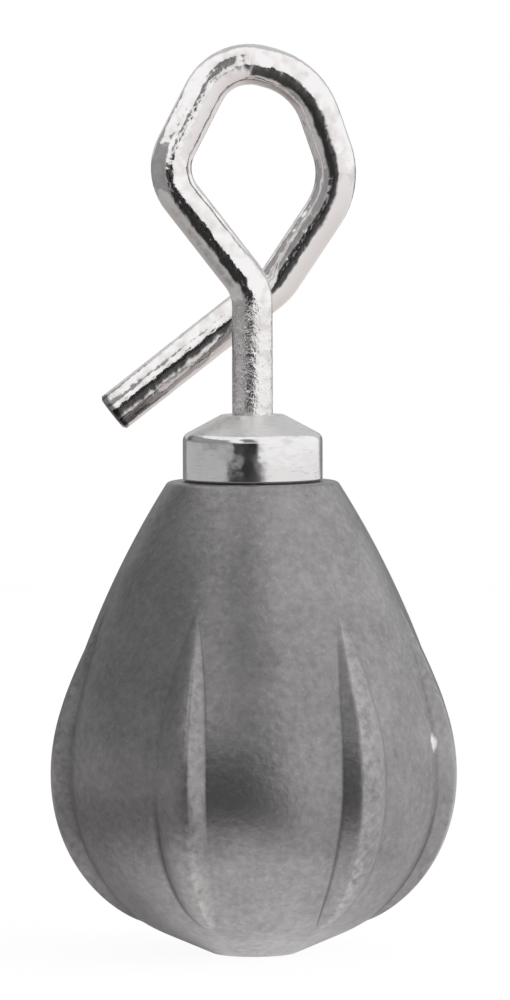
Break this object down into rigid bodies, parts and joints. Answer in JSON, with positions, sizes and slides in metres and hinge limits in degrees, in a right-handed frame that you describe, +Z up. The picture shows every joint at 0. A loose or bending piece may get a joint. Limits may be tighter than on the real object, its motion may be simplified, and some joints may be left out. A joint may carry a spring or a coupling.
{
  "type": "fishing sinker",
  "caption": "Ribbed teardrop sinker of sintered heavy metal with a plated swivel collar and a bent wire eye that turns freely and pinches the line.",
  "frame": {"origin": "centre of the flat base on the sinker's axis", "axes": "+Z up along the sinker's axis towards the line eye, -Y towards the front that shows the eye face on, +X to the right seen from the front"},
  "size_m": [0.009, 0.0088, 0.0202],
  "materials": {
    "sintered_body": "as sintered, matte with a fine grain",
    "plated_barrel": "bright nickel plate on brass, lightly tumbled",
    "spring_wire": "bright drawn spring wire with light scuffs",
    "cured_adhesive": "cured epoxy"
  },
  "bodies": {
    "sinker": {"sinker_body": "sintered_body", "swivel_barrel": "plated_barrel", "adhesive_bond": "cured_adhesive"},
    "eye": {"line_eye": "spring_wire"}
  },
  "joints": [
    {"name": "eye_swivel", "type": "hinge", "parent": "sinker", "child": "eye", "pos_m": [0, 0, 0.0115], "axis": [0, 0, 1], "continuous": true}
  ]
}
